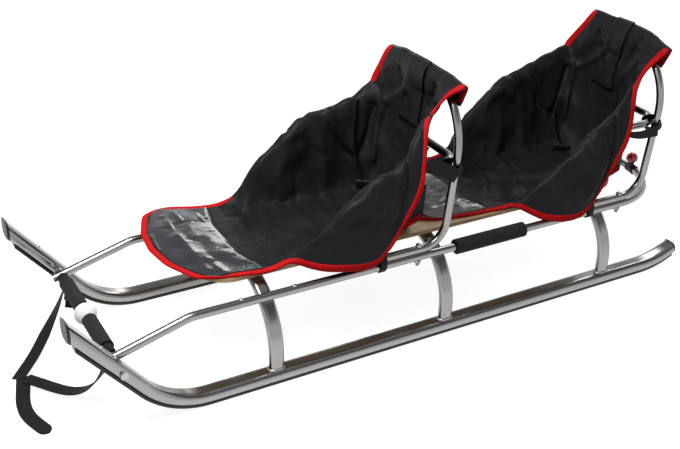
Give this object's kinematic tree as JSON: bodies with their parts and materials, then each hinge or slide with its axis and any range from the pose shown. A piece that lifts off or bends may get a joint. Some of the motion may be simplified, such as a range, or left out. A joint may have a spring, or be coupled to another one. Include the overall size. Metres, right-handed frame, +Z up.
{
  "type": "two-seat tube sled",
  "caption": "Tandem child's sled of bent metal tube on upswept runners, with a plywood board, padded cloth seats over back frames and arm hoops, foam grips and a tow strap.",
  "frame": {"origin": "on the floor under the middle of the sled's box", "axes": "+X the way the sled is pulled, +Y its left side, +Z up"},
  "size_m": [1.4179, 0.4062, 0.4999],
  "materials": {
    "aluminium": "polished, slightly satin",
    "black_plastic": "matte",
    "zinc_steel": "zinc plated",
    "black_foam": "closed-cell foam, matte",
    "webbing": "woven polypropylene webbing",
    "white_plastic": "smooth",
    "red_plastic": "smooth",
    "plywood": "clear varnish",
    "seat_fabric": "padded woven polyester"
  },
  "bodies": {
    "root": {"arch_front": "aluminium", "arch_middle": "aluminium", "arch_rear": "aluminium", "arm_hoop_front": "aluminium", "arm_hoop_rear": "aluminium", "back_frame_front": "aluminium", "back_frame_rear": "aluminium", "back_panel_front": "seat_fabric", "back_panel_rear": "seat_fabric", "crossbar": "aluminium", "crossbar_bolt_left": "zinc_steel", "crossbar_bolt_right": "zinc_steel", "crossbar_collar": "white_plastic", "crossbar_grip_left": "black_foam", "crossbar_grip_right": "black_foam", "glide_strip_left": "black_plastic", "glide_strip_right": "black_plastic", "rail_grip_left": "black_foam", "rail_grip_right": "black_foam", "rear_plug_left": "black_plastic", "rear_plug_right": "black_plastic", "rear_reflector": "red_plastic", "rear_reflector_clip": "black_plastic", "runner_left": "aluminium", "runner_right": "aluminium", "seat_board": "plywood", "seat_pad_front": "seat_fabric", "seat_pad_rear": "seat_fabric", "side_rail": "aluminium", "tip_cap_left": "black_plastic", "tip_cap_right": "black_plastic", "tow_loop_left": "webbing", "tow_loop_right": "webbing", "tow_strap_handle": "webbing", "tow_strap_left": "webbing", "tow_strap_right": "webbing", "wing_front_left": "seat_fabric", "wing_front_right": "seat_fabric", "wing_rear_left": "seat_fabric", "wing_rear_right": "seat_fabric"}
  },
  "joints": []
}
